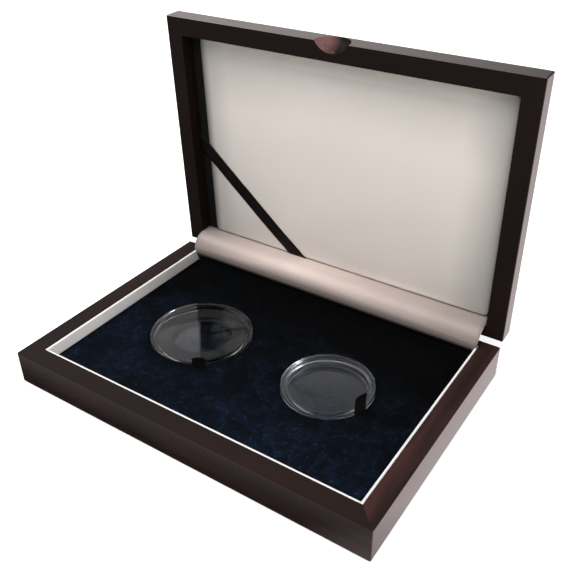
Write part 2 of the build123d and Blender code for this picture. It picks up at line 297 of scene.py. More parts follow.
felt_rings = []
for inset, z in ((felt_soft_edge, felt_low.z), (0, felt_low.z + felt_soft_edge),
                 (0, felt_high.z - felt_soft_edge), (felt_soft_edge, felt_high.z)):
    outline = rounded_outline(felt_high.x - inset, felt_high.y - inset, felt_corner - inset)
    felt_rings.append([(x, y, z) for x, y in outline])
felt = mesh_piece("underside_felt_pad", *stacked_rings(felt_rings), felt_cloth())
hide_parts("underside_felt")
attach(felt, "base")


# ---- Hinges ------------------------------------------
# Two stamped brass butt hinges let flush into the rear rails, each with a plain pin and
# four slotted countersunk screws. Teeth on the lid's knuckles stop the lid upright.
brass_clean, brass_tarnished = (0.72, 0.50, 0.20, 1), (0.42, 0.26, 0.10, 1)
drawn_depth = 0.012 * mm


def rolled_brass():
    material, tree, shader = material_tree("rolled_brass")
    drawn = clouds(tree, 1.0, 3.0, (60, 2400, 2400))
    tarnish = clouds(tree, 1.0, 4.0, (220, 220, 220))
    colour = blend_colours(tree, ramp(tree, tarnish, 0.42, 0.75), brass_clean, brass_tarnished)
    roughness = maths(tree, "ADD", times(tree, drawn, 0.22), 0.18)
    surface(tree, shader, Base_Color=colour, Metallic=1.0, Roughness=roughness,
            Normal=bumps(tree, drawn, drawn_depth))
    return material


brass = rolled_brass()
for name in frame["nodes"]:
    if name.endswith(("_leaf", "_pin", "_screws")):
        finish_node(name, brass)


# ---- Lining strips -----------------------------------
# Strips of card wrapped in ivory leatherette, glued round the inside of the base. They
# stand just under the rim and hide the edge of the tray; the wrapped top edge is round.
strip_round = 0.45 * mm
strip_pitch = 1.5 * mm
strip_wander = 0.05 * mm
waves_along, waves_up = 60, 120
strip_ivory = (0.70, 0.68, 0.67)
pebble_depth, dent_depth = 0.04 * mm, 0.3 * mm
greyed = 0.93


def leatherette(name, tint):
    """Pebbled coated cloth, a little greyer in patches."""
    material, tree, shader = material_tree(name)
    pebble = add(tree, "TexVoronoi", Vector=spot(tree), Scale=1700.0, feature="SMOOTH_F1")
    cloud = clouds(tree, 45.0, 3.0)
    pale, grey = [tuple(c * k for c in tint) + (1,) for k in (1.0, greyed)]
    colour = blend_colours(tree, ramp(tree, cloud, 0.35, 0.65), grey, pale)
    relief = bumps(tree, pebble, pebble_depth, bumps(tree, cloud, dent_depth))
    surface(tree, shader, Base_Color=colour, Roughness=0.48, Normal=relief, Specular_IOR_Level=0.4)
    return material


def wrapped_strip(node):
    """A strip inside its node's box, its section rounded and its long edges a little uneven."""
    low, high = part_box(node)
    run = 0 if high.x - low.x > high.y - low.y else 1
    middle = (low + high) / 2
    half_run = (high[run] - low[run]) / 2
    half_thick = (high[1 - run] - low[1 - run]) / 2
    half_tall = (high.z - low.z) / 2
    section = rounded_outline(half_thick, half_tall, strip_round, 4)
    count = int(2 * half_run / strip_pitch)
    rings = []
    for step in range(count + 1):
        along = -half_run + 2 * half_run * step / count
        ring = []
        for across, up in section:
            place = Vector((along * waves_along, up * waves_up, half_run * 40))
            sway = strip_wander * noise.noise(place)
            point = [0, 0, middle.z + up - abs(sway)]
            point[run] = middle[run] + along
            point[1 - run] = middle[1 - run] + across * (1 - abs(sway) / half_thick)
            ring.append(tuple(point))
        rings.append(ring[::-1] if run == 1 else ring)
    return stacked_rings(rings)


strip_finish = leatherette("pale_leatherette", strip_ivory)
for side in ("left", "right", "front"):
    strip = mesh_piece(f"{side}_lining_strip", *wrapped_strip(f"{side}_lining"), strip_finish)
    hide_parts(f"{side}_lining")
    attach(strip, "base")


# ---- Tray core ---------------------------------------
# A sheet of firm black foam with a round hole die-cut for each capsule. It lies on the
# base's panel, and the velvet is wrapped over it.
core_low, core_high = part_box("tray_core")
velvet_low, velvet_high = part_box("tray_velvet")
pocket_play = 0.35 * mm
pocket_seat = 0.2 * mm
circle_steps, core_steps = 128, 64
core_pitch = 8 * mm
foam_black, foam_worn = (0.012, 0.012, 0.013, 1), (0.03, 0.03, 0.032, 1)
cell_depth = 0.1 * mm
pockets = {}
for side in ("left", "right"):
    cup_low, cup_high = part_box(f"{side}_capsule_bottom")
    pockets[side] = ((cup_low + cup_high) / 2, (cup_high.x - cup_low.x) / 2)
velvet_depth = velvet_high.z - core_high.z


def circle(centre, radius, steps):
    turns = [2 * pi * i / steps for i in range(steps)]
    return [(centre.x + radius * cos(t), centre.y + radius * sin(t)) for t in turns]


def filled_plan(outer, holes, steps, pitch):
    """Triangles filling an outline with round holes, on a grid of that pitch: 2D points and faces."""
    points, edges = [], []
    for loop in [outer] + [circle(centre, radius, steps) for centre, radius in holes]:
        start = len(points)
        points += [Vector(p) for p in loop]
        edges += [(start + i, start + (i + 1) % len(loop)) for i in range(len(loop))]
    xs, ys = [p[0] for p in outer], [p[1] for p in outer]
    count_x, count_y = int((max(xs) - min(xs)) / pitch), int((max(ys) - min(ys)) / pitch)
    for i in range(1, count_x):
        for j in range(1, count_y):
            p = Vector((min(xs) + pitch * (i + 0.25 * (j % 2) - 0.12), min(ys) + pitch * j))
            if all((p - centre.to_2d()).length > radius + pitch * 0.6 for centre, radius in holes):
                points.append(p)
    plan, _, faces, *_ = delaunay_2d_cdt(points, edges, [], 0, 1e-9)
    kept = []
    for face in faces:
        middle = sum((plan[i] for i in face), Vector((0, 0))) / len(face)
        if all((middle - centre.to_2d()).length > radius * 0.999 for centre, radius in holes):
            kept.append(face)
    return plan, kept


def foam(name, dark, pale):
    material, tree, shader = material_tree(name)
    cell = add(tree, "TexVoronoi", Vector=spot(tree), Scale=2600.0)
    colour = blend_colours(tree, cell, dark, pale)
    surface(tree, shader, Base_Color=colour, Roughness=0.9, Normal=bumps(tree, cell, cell_depth),
            Specular_IOR_Level=0.2)
    return material


def tray_core():
    x, y = core_high.x, (core_low.y, core_high.y)
    outer = [(-x, y[0]), (x, y[0]), (x, y[1]), (-x, y[1])]
    holes = [(c, r + pocket_play + velvet_depth) for c, r in pockets.values()]
    plan, faces = filled_plan(outer, holes, core_steps, core_pitch)
    count = len(plan)
    points = [(p.x, p.y, core_high.z) for p in plan] + [(p.x, p.y, core_low.z) for p in plan]
    skin = [tuple(f) for f in faces] + [tuple(i + count for i in reversed(f)) for f in faces]
    sides = dict.fromkeys((a, b) for face in faces for a, b in zip(face, list(face[1:]) + [face[0]]))
    for a, b in sides:
        if (b, a) not in sides:
            skin.append((b, a, a + count, b + count))
    return points, skin


core = mesh_piece("tray_foam_block", *tray_core(), foam("black_foam", foam_black, foam_worn))
core.data.shade_flat()
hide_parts("tray_core")
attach(core, "base")


# ---- Velvet ------------------------------------------
# Navy crushed velvet over thin wadding, pulled over the foam, pressed into both pockets
# and tucked down behind the linings. The nap lies in patches, dark one way, blue the other.
lip_radius = 1.0 * mm
pocket_fillet = 0.5 * mm
velvet_pitch = 1.4 * mm
tuck_depth, tuck_round = 2.6 * mm, 0.45 * mm
crush_height, nap_height = 0.16 * mm, 0.05 * mm
crush_waves, nap_waves = 95, 420
crush_calm = 4 * mm
lip_share, floor_share = 0.5, 0.4
# Painted light: the velvet turns bluer toward the front of the tray and on the pocket floors.
painted_light_toward = (-0.1, -0.99, 0)
painted_light_wander = 0.07
painted_light_span = (0.004, 0.085)
least_turned, least_tips = 0.06, 0.04
pocket_painted_light_depth, pocket_painted_light_share = 4 * mm, 0.8
velvet_in_shade, velvet_in_light = (0.0010, 0.0011, 0.0010, 1), (0.0026, 0.0040, 0.0064, 1)
nap_turned, nap_tips = (0.0042, 0.0078, 0.0172, 1), (0.014, 0.025, 0.050, 1)
nap_sheen = (0.10, 0.22, 0.60, 1)
pile_depth, patch_depth, sway_depth = 0.12 * mm, 0.5 * mm, 1.5 * mm


def dot(tree, place, direction):
    """How far a point lies along a direction."""
    made = tree.nodes.new("ShaderNodeVectorMath")
    made.operation = "DOT_PRODUCT"
    fill(tree, made.inputs, (place, direction))
    return made.outputs["Value"]


def crushed_velvet():
    """Pile whose colour turns from near black to blue in patches crushed the other way, with painted light
    making it bluer toward the front and on the pocket floors.
    """
    material, tree, shader = material_tree("navy_velvet")
    place = spot(tree)
    sway = clouds(tree, 36.0, 3.0, Distortion=1.4)
    patch = clouds(tree, 210.0, 6.0, Roughness=0.62, Distortion=0.8)
    speck = clouds(tree, 620.0, 3.0, Roughness=0.7)
    pile = clouds(tree, 3800.0, 2.0)
    # Painted light, growing toward the front and on the pocket floors, sets how blue the velvet is.
    drift = maths(tree, "ADD", dot(tree, place, painted_light_toward), times(tree, sway, painted_light_wander))
    pocket_painted_light = ramp(tree, axes(tree, place)["Z"], velvet_high.z - mm, velvet_high.z - pocket_painted_light_depth)
    painted_light = maths(tree, "MAXIMUM", ramp(tree, drift, *painted_light_span), times(tree, pocket_painted_light, pocket_painted_light_share))
    colour = blend_colours(tree, painted_light, velvet_in_shade, velvet_in_light)
    lie = times(tree, ramp(tree, sway, 0.36, 0.62), ramp(tree, patch, 0.42, 0.66))
    colour = blend_colours(tree, times(tree, lie, maths(tree, "ADD", painted_light, least_turned)), colour, nap_turned)
    tips = times(tree, ramp(tree, speck, 0.56, 0.68), ramp(tree, patch, 0.45, 0.62))
    colour = blend_colours(tree, times(tree, tips, maths(tree, "ADD", painted_light, least_tips)), colour, nap_tips)
    relief = bumps(tree, patch, patch_depth, bumps(tree, sway, sway_depth))
    surface(tree, shader, Base_Color=colour, Normal=bumps(tree, pile, pile_depth, relief), Roughness=0.9,
            Specular_IOR_Level=0.02, Sheen_Weight=0.015, Sheen_Roughness=0.4, Sheen_Tint=nap_sheen)
    return material


def velvet_height(x, y):
    """Small rise and fall of the velvet's flat, dying away at the tray's edge."""
    rise = crush_height * noise.noise(Vector((x * crush_waves, y * crush_waves, 0.3)))
    rise += nap_height * noise.noise(Vector((x * nap_waves, y * nap_waves, 5.1)))
    edge = min(velvet_high.x - abs(x), velvet_high.y - y, y - velvet_low.y)
    return rise * min(1.0, max(0.0, edge / crush_calm))


def pocket_point(x, y, z, floor):
    """A point of a pocket: uneven both ways on its lip and wall, and only downward on its floor."""
    rise = velvet_height(x, y)
    return x, y, z + lip_share * rise if z > floor + mm else z - floor_share * abs(rise)


def velvet_skin():
    top = velvet_high.z
    x, y = velvet_high.x - tuck_round, (velvet_low.y + tuck_round, velvet_high.y - tuck_round)
    steps_x, steps_y = int(2 * x / velvet_pitch), int((y[1] - y[0]) / velvet_pitch)
    outer = [(-x + 2 * x * i / steps_x, y[0]) for i in range(steps_x)]
    outer += [(x, y[0] + (y[1] - y[0]) * j / steps_y) for j in range(steps_y)]
    outer += [(x - 2 * x * i / steps_x, y[1]) for i in range(steps_x)]
    outer += [(-x, y[1] - (y[1] - y[0]) * j / steps_y) for j in range(steps_y)]
    rims = [(c, r + pocket_play + lip_radius) for c, r in pockets.values()]
    plan, faces = filled_plan(outer, rims, circle_steps, velvet_pitch)
    points = [(p.x, p.y, top + velvet_height(p.x, p.y)) for p in plan]
    skin = [tuple(f) for f in faces]

    def ring(loop, start):
        """Joins the last ring, whose points begin at start, to a new ring of points."""
        first = len(points)
        points.extend(loop)
        for i in range(len(loop)):
            k = (i + 1) % len(loop)
            skin.append((start + i, first + i, first + k, start + k))
        return first

    # The tucked edge: over a small round and then straight down.
    grow = [(tuck_round * sin(a), tuck_round * (1 - cos(a))) for a in (pi / 6, pi / 3, pi / 2)]
    grow.append((tuck_round, tuck_depth))
    start = 0
    centre_y, half_y = (y[0] + y[1]) / 2, (y[1] - y[0]) / 2
    for out, drop in grow:
        sx, sy = (x + out) / x, (half_y + out) / half_y
        start = ring([(px * sx, centre_y + (py - centre_y) * sy, top - drop) for px, py in outer], start)
    # The pockets: lip, wall, fillet and floor.
    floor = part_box("left_capsule_bottom")[0].z - pocket_seat
    start_of = len(outer)
    for centre, radius in pockets.values():
        hole = radius + pocket_play
        rows = [(hole + lip_radius * (1 - sin(a)), top - lip_radius * (1 - cos(a)))
                for a in (pi / 8, pi / 4, 3 * pi / 8, pi / 2)]
        rows += [(hole, (top + floor) / 2), (hole, floor + pocket_fillet)]
        rows += [(hole - pocket_fillet * (1 - cos(a)), floor + pocket_fillet * (1 - sin(a)))
                 for a in (pi / 4, pi / 2)]
        rows += [(hole * s, floor) for s in (0.9, 0.75, 0.6, 0.45, 0.3, 0.15)]
        start = start_of
        for r, z in rows:
            start = ring([pocket_point(px, py, z, floor) for px, py in circle(centre, r, circle_steps)],
                         start)
        points.append((centre.x, centre.y, floor))
        hub = len(points) - 1
        skin.extend((start + i, hub, start + (i + 1) % circle_steps) for i in range(circle_steps))
        start_of += circle_steps
    return points, skin


velvet = mesh_piece("velvet_tray", *velvet_skin(), crushed_velvet())
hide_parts("tray_velvet")
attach(velvet, "base")


# ---- Lift tabs ---------------------------------------
# Under each capsule lies a short black satin ribbon, glued to the pocket's floor. Its end
# stands up beside the capsule, and pulling it lifts the capsule out.
tab_corner = 1.2 * mm
tab_thick = 0.22 * mm
tab_bow, tab_belly, tab_curl = 0.35 * mm, 0.105 * mm, 0.12 * mm
tab_crowding = 1.4
satin_black, satin_worn = (0.0030, 0.0022, 0.0020, 1), (0.0065, 0.0045, 0.0040, 1)
rib_depth = 0.02 * mm
tab_columns, tab_rows = 10, 22


def black_satin():
    material, tree, shader = material_tree("black_satin")
    rib = add(tree, "TexWave", Vector=spot(tree), Scale=620.0, Distortion=0.2, bands_direction="DIAGONAL")
    wear = clouds(tree, 180.0, 3.0)
    colour = blend_colours(tree, ramp(tree, wear, 0.3, 0.75), satin_black, satin_worn)
    surface(tree, shader, Base_Color=colour, Roughness=0.55, Normal=bumps(tree, rib, rib_depth),
            Specular_IOR_Level=0.15)
    return material


def grid(across, along):
    """Faces over rows of points, and the way round their rim."""
    firsts = [i * across + j for i in range(along - 1) for j in range(across - 1)]
    rim = list(range(across)) + [i * across + across - 1 for i in range(1, along)]
    rim += [(along - 1) * across + j for j in range(across - 2, -1, -1)]
    rim += [i * across for i in range(along - 2, 0, -1)]
    return [(a, a + 1, a + across + 1, a + across) for a in firsts], rim


def two_faced(front, back):
    """Closed skin of a thin cloth, given the rows of points of its two faces."""
    points = [p for row in front + back for p in row]
    half = len(points) // 2
    faces, rim = grid(len(front[0]), len(front))
    faces += [(half + a, half + d, half + c, half + b) for a, b, c, d in faces]
    faces += [(b, a, half + a, half + b) for a, b in zip(rim, rim[1:] + rim[:1])]
    return points, faces


def standing_tab(node, pocket):
    """A ribbon's end inside its node's slot: rounded at the top and bowed away from the capsule."""
    centre = pocket[0]
    corners = [vertex.co for vertex in frame["nodes"][node].data.vertices]
    middle = sum(corners, Vector()) / len(corners)
    out = Vector((middle.x - centre.x, middle.y - centre.y, 0)).normalized()
    side = Vector((-out.y, out.x, 0))
    reach = [(c - centre).dot(out) for c in corners]
    half_wide = max((c - centre).dot(side) for c in corners)
    low, high = min(c.z for c in corners), max(c.z for c in corners)
    flat = (min(reach) + max(reach)) / 2
    front, back = [], []
    for i in range(tab_rows + 1):
        z = low + (high - low) * (1 - (1 - i / tab_rows) ** tab_crowding)
        short = max(0.0, z - (high - tab_corner)) / tab_corner
        wide = half_wide - tab_corner * (1 - sqrt(max(0.0, 1 - short * short)))
        free = max(0.0, z - velvet_high.z) / (high - velvet_high.z)
        lean_out = tab_bow * free * free - tab_belly * sin(pi * free)
        for rows, step in ((front, -tab_thick / 2), (back, tab_thick / 2)):
            row = []
            for j in range(tab_columns + 1):
                share = 2 * j / tab_columns - 1
                outward = flat + step + lean_out + tab_curl * share * share * free
                row.append(Vector((centre.x, centre.y, z)) + out * outward + side * (wide * share))
            rows.append(row)
    return two_faced(front, back)


satin_ribbon = black_satin()
for side, pocket in pockets.items():
    tab = mesh_piece(f"{side}_lift_ribbon", *standing_tab(f"{side}_lift_tab", pocket), satin_ribbon)
    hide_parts(f"{side}_lift_tab")
    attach(tab, "base")


# ---- Coin capsules -----------------------------------
# Two clear acrylic capsules, each a shallow cup with a push-fit top. The top has a raised
# stacking rim round its lens. The wider one holds a dark foam ring for a smaller coin.
floor_thick, wall_thick, skirt_thick, lens_thick = 1.2 * mm, 1.4 * mm, 1.1 * mm, 1.2 * mm
push_fit, skirt_gap = 0.1 * mm, 0.2 * mm
lens_drop = {"left": 0.1 * mm, "right": 0.4 * mm}
stack_rim = 1.6 * mm
shell_soft = 0.15 * mm
wall_glow = 0.6 * mm
turn_steps = 160
crease = radians(40)
scuff_depth = 0.0015 * mm
acrylic_shadow = (0.9, 0.9, 0.9, 1)


def clear_acrylic(name, tint, rubbed, gloss):
    """Clear moulded plastic: tint is what it lets through, rubbed how matt it is, gloss its shine."""
    material, tree, shader = material_tree(name)
    haze = clouds(tree, 260.0, 4.0)
    scuff = clouds(tree, 1.0, 2.0, (90, 2400, 90))
    roughness = maths(tree, "ADD", times(tree, ramp(tree, haze, 0.45, 0.8), 0.05), rubbed)
    surface(tree, shader, Base_Color=tint, Transmission_Weight=1.0, IOR=1.49, Roughness=roughness,
            Normal=bumps(tree, scuff, scuff_depth), Specular_Tint=gloss)
    # The shell hardly dims the light, so to shadow rays it is nearly nothing.
    passed = add(tree, "BsdfTransparent", Color=acrylic_shadow)
    ray = tree.nodes.new("ShaderNodeLightPath").outputs["Is Shadow Ray"]
    both = add(tree, "MixShader", ray, shader.outputs[0], passed)
    tree.links.new(both, tree.nodes["Material Output"].inputs["Surface"])
    return material


def softened(profile, soft):
    """A half section with each corner cut by a small arc of three points."""
    out = []
    count = len(profile)
    for i, (r, z) in enumerate(profile):
        before, after = profile[i - 1], profile[(i + 1) % count]
        if r == 0:
            out.append((r, z))
            continue
        here = Vector((r, z))
        a, b = Vector(before) - here, Vector(after) - here
        cut = min(soft, a.length * 0.4, b.length * 0.4)
        p, q = here + a.normalized() * cut, here + b.normalized() * cut
        out += [tuple(p), tuple((p + q) / 4 + here / 2), tuple(q)]
    return out


def turned(profile, centre, steps=turn_steps):
    """Skin of a half section turned about an upright axis; sections start and end on it, or close."""
    points, faces = [], []
    rows = []
    for r, z in profile:
        if r < 1e-7:
            points.append((centre.x, centre.y, centre.z + z))
            rows.append([len(points) - 1] * steps)
        else:
            first = len(points)
            turns = [2 * pi * i / steps for i in range(steps)]
            points += [(centre.x + r * cos(t), centre.y + r * sin(t), centre.z + z) for t in turns]
            rows.append(list(range(first, first + steps)))
    for below, above in zip(rows, rows[1:] + rows[:1]):
        if below[0] == below[1] and above[0] == above[1]:
            continue
        for i in range(steps):
            k = (i + 1) % steps
            face = (below[i], below[k], above[k], above[i])
            faces.append(tuple(dict.fromkeys(face)))
    return points, faces


lens_finish = clear_acrylic("clear_acrylic", (0.97, 0.98, 0.985, 1), 0.01, (0.10, 0.15, 0.22, 1))
# The left capsule's clear wall is tinted grey: painted shade that keeps its rim dark over the foam.
wall_finish = {
    "left": clear_acrylic("clear_acrylic_wall_greyed_as_shade", (0.50, 0.53, 0.57, 1), 0.05, (0.5, 0.56, 0.6, 1)),
    "right": clear_acrylic("clear_acrylic_wall", (0.86, 0.92, 1.0, 1), 0.14, (0.4, 0.46, 0.52, 1))}
clear_pieces = []
for side, (middle, radius) in pockets.items():
    low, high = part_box(f"{side}_capsule_bottom")
    top_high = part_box(f"{side}_capsule_top")[1]
    centre = Vector((middle.x, middle.y, low.z))
    meet, height = high.z - low.z, top_high.z - low.z
    flange = meet + push_fit
    wall = radius - wall_thick
    skirt = wall - push_fit
    cavity = skirt - skirt_thick
    drop = lens_drop[side]
    lens_top = height - drop
    lens_low = lens_top - lens_thick
    cup = [(0, 0), (radius - 2 * push_fit, 0), (radius, 2 * push_fit), (radius, meet), (wall, meet),
           (wall, floor_thick), (0, floor_thick)]
    cap = [(0, lens_low), (cavity, lens_low), (cavity, floor_thick + skirt_gap),
           (skirt, floor_thick + skirt_gap), (skirt, flange), (radius, flange), (radius, height),
           (radius - stack_rim, height), (radius - stack_rim - drop, lens_top),
           (cavity - wall_glow, lens_top), (0, lens_top)]
    bodies = {"bottom": (cup, f"{side}_capsule"), "top": (cap, f"{side}_capsule_lid")}
    for half, (profile, body) in bodies.items():
        shell = turned(softened(profile, shell_soft), centre)
        piece = mesh_piece(f"{side}_capsule_{half}_clear", *shell, lens_finish)
        piece.data.set_sharp_from_angle(angle=crease)
        piece.data.materials.append(wall_finish[side])
        for face in piece.data.polygons:
            face.material_index = int((face.center - centre).to_2d().length > cavity - wall_glow)
        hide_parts(f"{side}_capsule_{half}")
        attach(piece, body)
        clear_pieces.append(piece)

ring_low, ring_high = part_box("left_capsule_ring")
ring_bore = 28.6 / 2 * mm
ring_soft = 0.3 * mm
ring_black, ring_worn = (0.007, 0.007, 0.007, 1), (0.014, 0.014, 0.014, 1)
ring_reach = (ring_high.x - ring_low.x) / 2
ring_height = ring_high.z - ring_low.z
ring_centre = Vector(((ring_low.x + ring_high.x) / 2, (ring_low.y + ring_high.y) / 2, ring_low.z))
section = [(ring_bore, 0), (ring_reach, 0), (ring_reach, ring_height), (ring_bore, ring_height)]
spacer = mesh_piece("left_capsule_foam_ring", *turned(softened(section, ring_soft), ring_centre),
                    foam("charcoal_foam", ring_black, ring_worn))
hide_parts("left_capsule_ring")
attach(spacer, "left_capsule")


# ---- Lid pad -----------------------------------------
# Ivory satin over a thin layer of wadding on a sheet of black card, pressed into the lid. It
# is full in the middle, falls away to its turned-in edges and stops short of the left rail.
pad_tuck, pad_shy = 0.4 * mm, 4.8 * mm
pad_pitch = 1.25 * mm
pad_edge_round, pad_foot_round = 1.6 * mm, 0.5 * mm
pad_corner_round = 2.5 * mm
pad_edge_rise = 0.62
pad_slope = 13.0 * mm
pad_slack, pad_pucker = 0.25 * mm, 0.05 * mm
slack_waves, pucker_waves = 26, 110
pad_calm = 3 * mm
# How strong and how wide the painted shade is at the pad's edges and low corners, and the painted shadow
# along its left edge.
left_edge_shade, top_edge_shade, corner_edge_shade = 0.5, 0.9, 0.8
side_reach, top_reach, foot_reach = 20.8 * mm, 33.8 * mm, 67.6 * mm
left_start, corner_start = 0.2, 0.35
top_shade_fade_at, top_shade_full_at = 1.5 * mm, 7 * mm
shade_contrast = 1.6
left_shadow_reach = 5.0 * mm
card_black, card_worn = (0.005, 0.005, 0.005, 1), (0.010, 0.009, 0.009, 1)
card_depth = 0.06 * mm
satin_ivory, satin_rose = (0.715, 0.66, 0.60, 1), (0.735, 0.665, 0.625, 1)
satin_furrow = (0.5, 0.45, 0.4, 1)
satin_shade_grey, satin_left_shadow = (0.33, 0.315, 0.30, 1), (0.06, 0.055, 0.05, 1)
thread_depth, dimple_depth = 0.01 * mm, 0.6 * mm


def lid_point(x, reach, depth):
    """A point of the open lid: across it, up from the hinge pins, and into its recess."""
    y = hinge_y + depth * cos(lean) - reach * sin(lean)
    return Vector((x, y, hinge_z + depth * sin(lean) + reach * cos(lean)))


def lid_box(node):
    """Lowest and highest (x, reach, depth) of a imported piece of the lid."""
    places = []
    for vertex in frame["nodes"][node].data.vertices:
        y, z = vertex.co.y - hinge_y, vertex.co.z - hinge_z
        places.append((vertex.co.x, z * cos(lean) - y * sin(lean), y * cos(lean) + z * sin(lean)))
    return [min(p[i] for p in places) for i in range(3)], [max(p[i] for p in places) for i in range(3)]


pad_low, pad_high = lid_box("lid_pad")
recess_left = pad_low[0]
pad_low[0] += pad_shy
pad_low[1] -= pad_tuck


def black_card():
    material, tree, shader = material_tree("black_card")
    fibre = clouds(tree, 900.0, 5.0)
    colour = blend_colours(tree, ramp(tree, fibre, 0.3, 0.7), card_black, card_worn)
    surface(tree, shader, Base_Color=colour, Roughness=0.9, Normal=bumps(tree, fibre, card_depth),
            Specular_IOR_Level=0.05)
    return material


def painted_edge_shade(tree, place):
    """1 at the pad's edges and low corners, where painted shade greys the satin."""
    x, _, z = axes(tree, place)
    across = maths(tree, "ABSOLUTE", x)
    low_z, high_z = lid_point(0, pad_low[1], 0).z, lid_point(0, pad_high[1], 0).z
    side = ramp(tree, across, pad_high[0] - side_reach, pad_high[0])
    left = times(tree, ramp(tree, x, pad_low[0] * left_start, pad_low[0]), left_edge_shade)
    top = times(tree, ramp(tree, z, high_z - top_reach, high_z), top_edge_shade)
    top = times(tree, top, ramp(tree, z, high_z - top_shade_fade_at, high_z - top_shade_full_at))
    lower = ramp(tree, z, low_z + foot_reach, low_z)
    corner = times(tree, lower, ramp(tree, across, pad_high[0] * corner_start, pad_high[0]))
    whole = maths(tree, "SUBTRACT", 1.0, side)
    for share in (left, top, times(tree, corner, corner_edge_shade)):
        whole = times(tree, whole, maths(tree, "SUBTRACT", 1.0, share))
    return maths(tree, "POWER", maths(tree, "SUBTRACT", 1.0, whole), shade_contrast)


def ivory_satin():
    """A close weave, with painted shade greying it toward its edges and a painted shadow along its left edge.
    """
    material, tree, shader = material_tree("ivory_satin")
    place = spot(tree)
    cloud = clouds(tree, 26.0, 3.0)
    warp = add(tree, "TexWave", Vector=place, Scale=900.0, Distortion=0.4, bands_direction="X")
    weft = add(tree, "TexWave", Vector=place, Scale=700.0, Distortion=0.4, bands_direction="Z")
    thread = maths(tree, "ADD", times(tree, warp, 0.6), times(tree, weft, 0.4))
    colour = blend_colours(tree, ramp(tree, cloud, 0.3, 0.7), satin_ivory, satin_rose)
    furrow = blend_colours(tree, 0.1, colour, satin_furrow)
    colour = blend_colours(tree, ramp(tree, thread, 0.2, 0.9), furrow, colour)
    # Painted shade greys the satin toward its edges and low corners, and a painted shadow darkens it along
    # its left edge.
    colour = blend_colours(tree, painted_edge_shade(tree, place), colour, satin_shade_grey)
    left_shadow = ramp(tree, axes(tree, place)["X"], pad_low[0] + left_shadow_reach, pad_low[0])
    colour = blend_colours(tree, maths(tree, "POWER", left_shadow, shade_contrast), colour, satin_left_shadow)
    relief = bumps(tree, thread, thread_depth, bumps(tree, cloud, dimple_depth))
    surface(tree, shader, Base_Color=colour, Roughness=0.55, Normal=relief, Sheen_Weight=0.15,
            Sheen_Roughness=0.4, Specular_IOR_Level=0.35)
    return material


def pad_fullness(inset, edge_round=pad_edge_round):
    """How much of the pad's rise is reached at a distance in from its edge."""
    if inset < edge_round:
        return pad_edge_rise * sqrt(max(0.0, 1 - (1 - inset / edge_round) ** 2))
    t = min(1.0, (inset - edge_round) / pad_slope)
    return pad_edge_rise + (1 - pad_edge_rise) * t * (2 - t)


def pad_depth(x, reach):
    """Depth of the pad's face in the lid, with the soft unevenness of wadding."""
    sides, foot = min(x - pad_low[0], pad_high[0] - x, pad_high[1] - reach), reach - pad_low[1]
    fullness = min(pad_fullness(max(0.0, sides)), pad_fullness(max(0.0, foot), pad_foot_round))
    rise = (pad_high[2] - pad_low[2]) * fullness
    calm = min(1.0, max(0.0, min(sides, foot)) / pad_calm)
    rise -= pad_slack * calm * (0.5 + noise.noise(Vector((x * slack_waves, reach * slack_waves, 1.7))))
    rise -= pad_pucker * calm * (0.5 + noise.noise(Vector((x * pucker_waves, reach * pucker_waves, 7.7))))
    return pad_high[2] - max(0.0, rise)


def eased(low, high):
    """Places from low to high, close together near both ends."""
    count = int((high - low) / pad_pitch) + 8
    ends = [0.0, 0.1, 0.25, 0.45, 0.7, 1.0]
    inner = [low + pad_calm + (high - low - 2 * pad_calm) * i / count for i in range(1, count)]
    return [low + pad_calm * e for e in ends] + inner + [high - pad_calm * e for e in reversed(ends)]


def round_corner(x, reach, middle, half):
    """The point, drawn in where it lies in one of the pad's square corners."""
    past = [abs(p - m) - (h - pad_corner_round) for p, m, h in zip((x, reach), middle, half)]
    if min(past) <= 0:
        return x, reach
    keep = max(past) / sqrt(past[0] ** 2 + past[1] ** 2)
    return [m + (h - pad_corner_round + over * keep) * (1 if p > m else -1)
            for p, m, h, over in zip((x, reach), middle, half, past)]


def pad_cushion():
    xs, rs = eased(pad_low[0], pad_high[0]), eased(pad_low[1], pad_high[1])
    middle = [(places[0] + places[-1]) / 2 for places in (xs, rs)]
    half = [(places[-1] - places[0]) / 2 for places in (xs, rs)]
    points = [lid_point(*round_corner(x, r, middle, half), pad_depth(x, r)) for r in rs for x in xs]
    faces, rim = grid(len(xs), len(rs))
    return points, faces + [tuple(reversed(rim))]


# The card is black, its colour as guessed. Where it shows in the gap left of the pad, this black also stands
# in for the shade there, as painted shade.
finish_node("lid_pad_board", black_card())
pad = mesh_piece("lid_satin_pad", *pad_cushion(), ivory_satin())
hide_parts("lid_pad")
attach(pad, "lid")


# ---- Certificate ribbon ------------------------------
# A black satin ribbon stretched across the lid's lower left corner, to hold a folded
# certificate. One end is tucked down beside the pad, the other under its lower edge.
ribbon_width, ribbon_thick = 6.8 * mm, 0.2 * mm
ribbon_lift, ribbon_crown = 0.16 * mm, 0.03 * mm
ribbon_left = recess_left - 0.9 * mm
ribbon_foot = pad_low[1] - 0.9 * mm
ribbon_shift = 3.0 * mm
ribbon_side_reach = 57.5 * mm
ribbon_foot_x = recess_left - 1.2 * mm + 57.0 * mm + ribbon_shift
ribbon_press, ribbon_press_reach = 0.25 * mm, 3 * mm
ribbon_tail = 1.0 * mm
ribbon_rows, ribbon_cols = 60, 8


